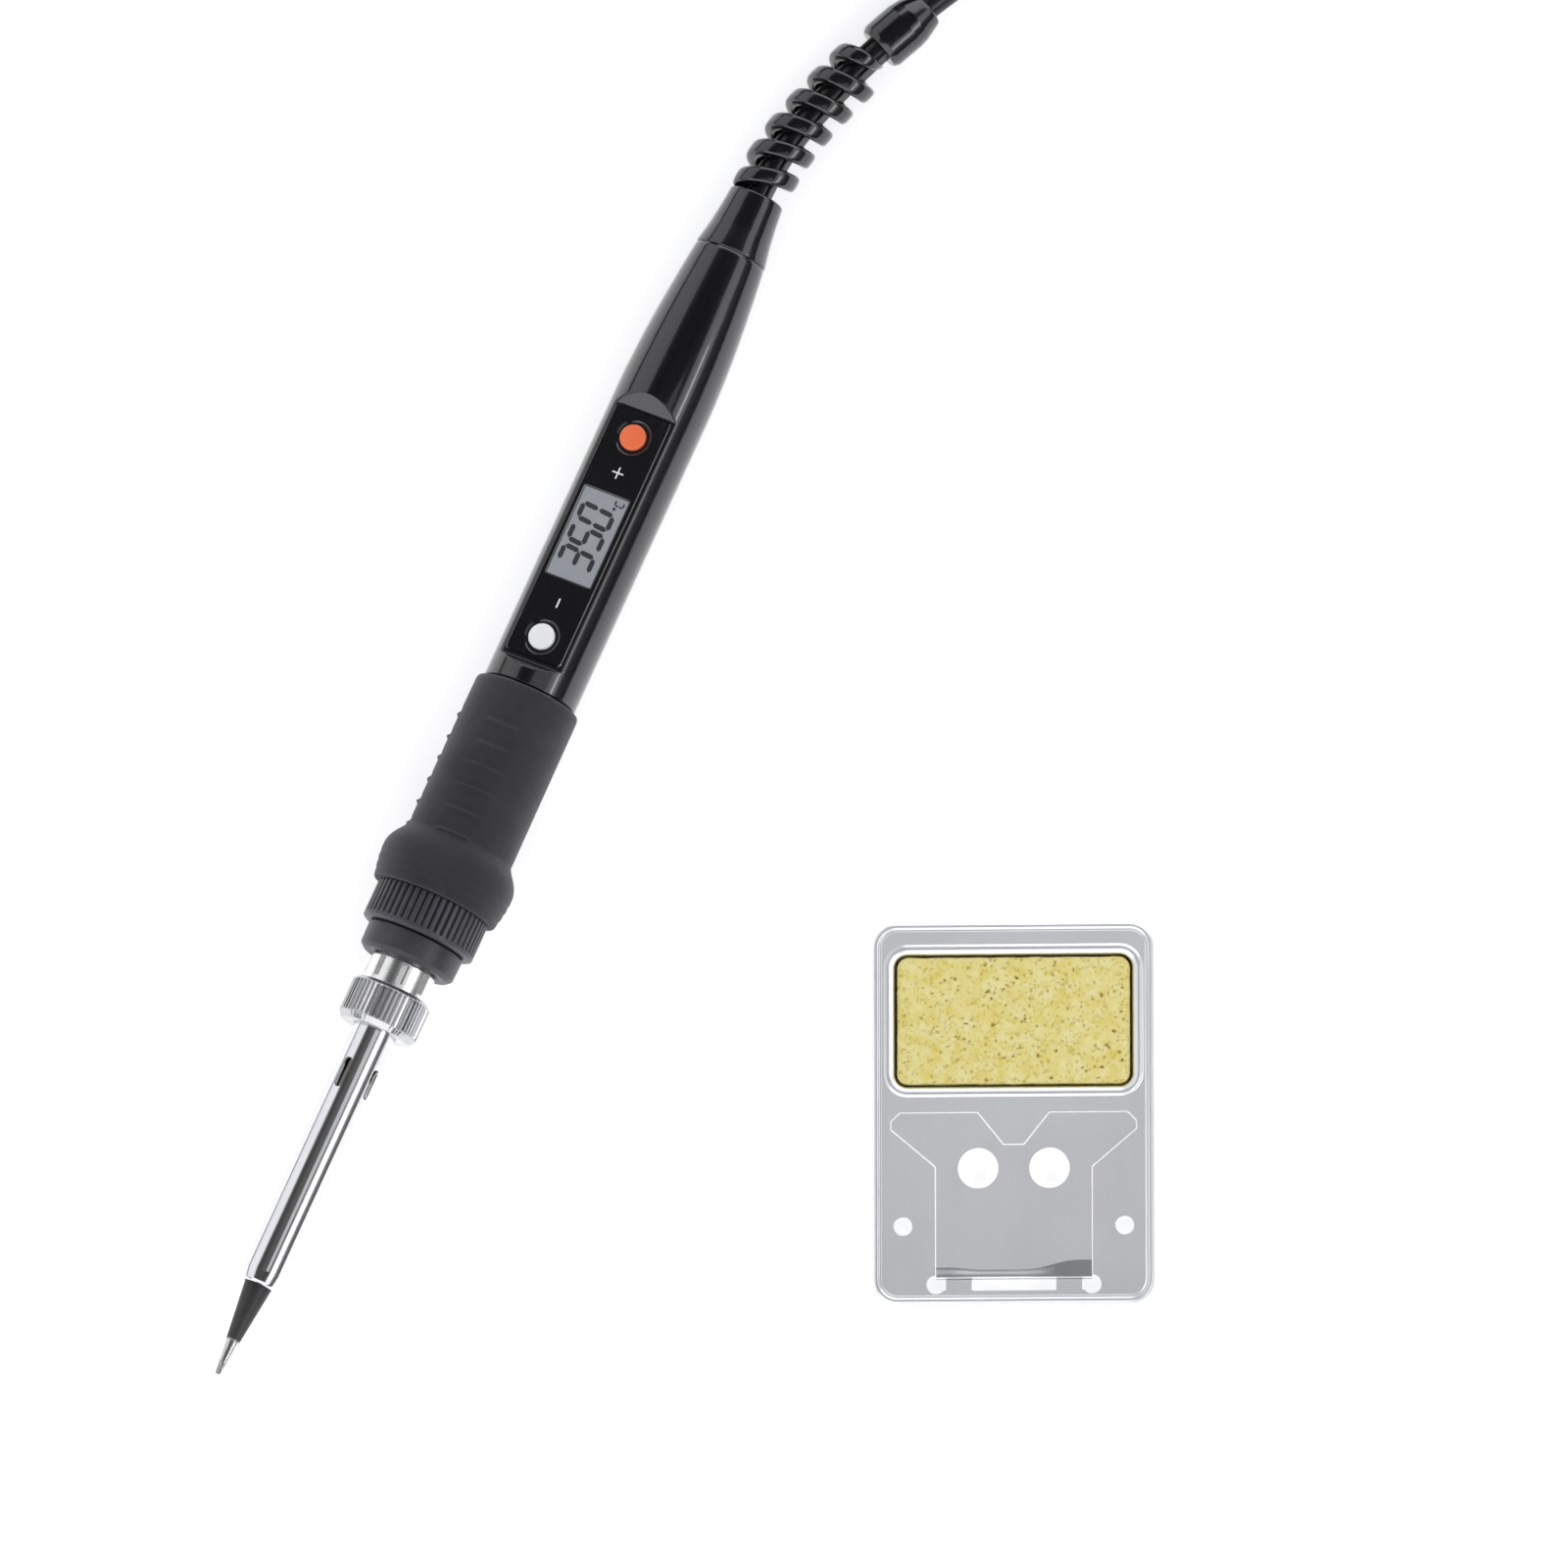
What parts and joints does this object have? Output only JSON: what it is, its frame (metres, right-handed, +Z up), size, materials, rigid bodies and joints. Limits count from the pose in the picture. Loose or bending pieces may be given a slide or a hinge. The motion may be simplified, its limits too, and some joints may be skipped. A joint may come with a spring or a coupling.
{
  "type": "soldering iron station",
  "caption": "Soldering iron with a handle display and buttons, knurled tip nut, rubber grip and mains lead, beside a small pressed-steel stand with a wet sponge and a folding rest.",
  "frame": {"origin": "on the bench, at the middle of the box around the iron and the stand, without the mains lead", "axes": "+Z up, away from the bench; +Y along the stand from its folding rest to its sponge; +X to the stand's side, away from the iron"},
  "size_m": [0.1762, 0.3565, 0.0262],
  "materials": {
    "stand_steel": "thin pressed stainless sheet, satin with a soft lengthwise grain",
    "rest_steel": "the same sheet, cut free on three sides",
    "sponge": "yellow cellulose sponge, open pores",
    "tip_plating": "dark chromed cone with a bare iron-plated point",
    "barrel_chrome": "polished tube",
    "nut_chrome": "polished with a straight knurl",
    "nipple_metal": "bright turned ring",
    "heater_ceramic": "white ceramic rod",
    "holder_ceramic": "cream ceramic bush",
    "collar_plastic": "satin black",
    "ribbed_plastic": "black with fine ribs along the axis",
    "grip_rubber": "matt charcoal silicone",
    "handle_plastic": "glossy black",
    "panel_plastic": "dark printed overlay",
    "lcd_grey": "grey liquid crystal display with dark digits",
    "key_orange": "orange",
    "key_white": "white",
    "board_green": "green solder mask",
    "switch_black": "black",
    "parts_dark": "dark component bodies",
    "wire_red": "coloured insulation",
    "boot_plastic": "glossy black moulding",
    "relief_plastic": "glossy black spiral moulding",
    "cord_pvc": "smooth black PVC sheath",
    "tie_black": "black strap",
    "plug_plastic": "black moulded plug",
    "pin_brass": "nickel-plated round pins"
  },
  "bodies": {
    "stand": {"base_plate": "stand_steel"},
    "rest": {"rest_flap": "rest_steel"},
    "sponge_pad": {"sponge": "sponge"},
    "iron": {"threaded_nipple": "nipple_metal", "heater_element": "heater_ceramic", "heater_holder": "holder_ceramic", "front_collar": "collar_plastic", "rubber_grip": "grip_rubber", "handle_body": "handle_plastic", "display_panel": "panel_plastic", "lcd_module": "lcd_grey", "circuit_board": "board_green", "tact_switches": "switch_black", "board_parts": "parts_dark", "lead_wires": "wire_red", "tail_boot": "boot_plastic", "strain_relief": "relief_plastic", "power_cord": "cord_pvc", "cord_coil": "cord_pvc", "cord_tie": "tie_black", "plug_lead": "cord_pvc", "plug_relief": "plug_plastic", "plug_body": "plug_plastic", "plug_pins": "pin_brass"},
    "hot_end": {"soldering_tip": "tip_plating", "barrel_tube": "barrel_chrome"},
    "tip_nut": {"retaining_nut": "nut_chrome"},
    "grip_nut": {"handle_nut": "ribbed_plastic"},
    "plus_key": {"plus_button": "key_orange"},
    "minus_key": {"minus_button": "key_white"}
  },
  "joints": [
    {"name": "rest_fold", "type": "hinge", "parent": "stand", "child": "rest", "pos_m": [0.0602, -0.1116, 0.0032], "axis": [1, 0, 0], "range_deg": [0, 100]},
    {"name": "sponge_lift", "type": "slide", "parent": "stand", "child": "sponge_pad", "axis": [0, 0, 1], "range_m": [0, 0.02]},
    {"name": "iron_lift", "type": "slide", "parent": "stand", "child": "iron", "axis": [0, 0, 1], "range_m": [0, 0.06]},
    {"name": "hot_end_pull", "type": "slide", "parent": "iron", "child": "hot_end", "axis": [-0.4064, -0.9128, 0.0401], "range_m": [0, 0.06]},
    {"name": "tip_nut_turn", "type": "hinge", "parent": "hot_end", "child": "tip_nut", "pos_m": [-0.05552, -0.06244, 0.01426], "axis": [0.4064, 0.9128, -0.0401], "continuous": true},
    {"name": "grip_nut_turn", "type": "hinge", "parent": "iron", "child": "grip_nut", "pos_m": [-0.04833, -0.04628, 0.01355], "axis": [0.4064, 0.9128, -0.0401], "continuous": true},
    {"name": "plus_press", "type": "slide", "parent": "iron", "child": "plus_key", "axis": [0.1818, -0.1238, -0.9755], "range_m": [0, 0.0005], "stiffness_N_per_m": 1500, "springref_m": -0.0003},
    {"name": "minus_press", "type": "slide", "parent": "iron", "child": "minus_key", "axis": [0.1818, -0.1238, -0.9755], "range_m": [0, 0.0005], "stiffness_N_per_m": 1500, "springref_m": -0.0003}
  ]
}
